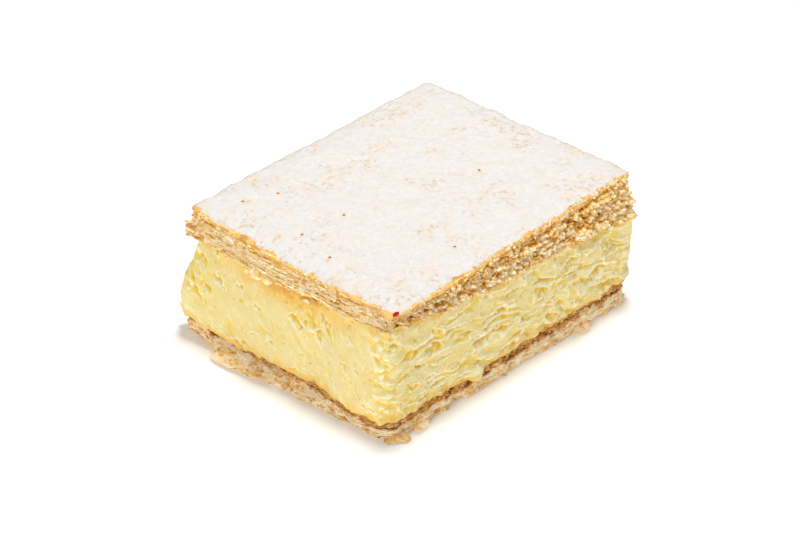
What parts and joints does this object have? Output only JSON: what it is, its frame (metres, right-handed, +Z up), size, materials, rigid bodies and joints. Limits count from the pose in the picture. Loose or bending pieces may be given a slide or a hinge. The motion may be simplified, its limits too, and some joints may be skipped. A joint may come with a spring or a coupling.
{
  "type": "mille feuille slice",
  "caption": "Tray-cut block of thick set custard between a thin soaked base sheet and a flaky lid sheet of puff pastry, dusted with icing sugar on top; stands flat on its base.",
  "frame": {"origin": "middle of the slice's box in plan, on the surface that the slice stands on", "axes": "+X along the longer cut sides, +Y along the shorter cut sides, +Z up out of the sugared lid"},
  "size_m": [0.108, 0.089, 0.0449],
  "materials": {
    "base_pastry": "baked puff pastry soaked by the custard above, toasted brown with a pale floury rim, matte",
    "custard": "pale yellow set custard, knife-smeared and moist, soft sheen with light passing a little way in",
    "lid_pastry": "golden baked puff pastry, dry and flaky, matte",
    "icing_sugar": "dry white powder with tan specks where it is thin, fully matte"
  },
  "bodies": {
    "root": {"base_pastry": "base_pastry", "custard": "custard", "lid_pastry": "lid_pastry"}
  },
  "joints": []
}
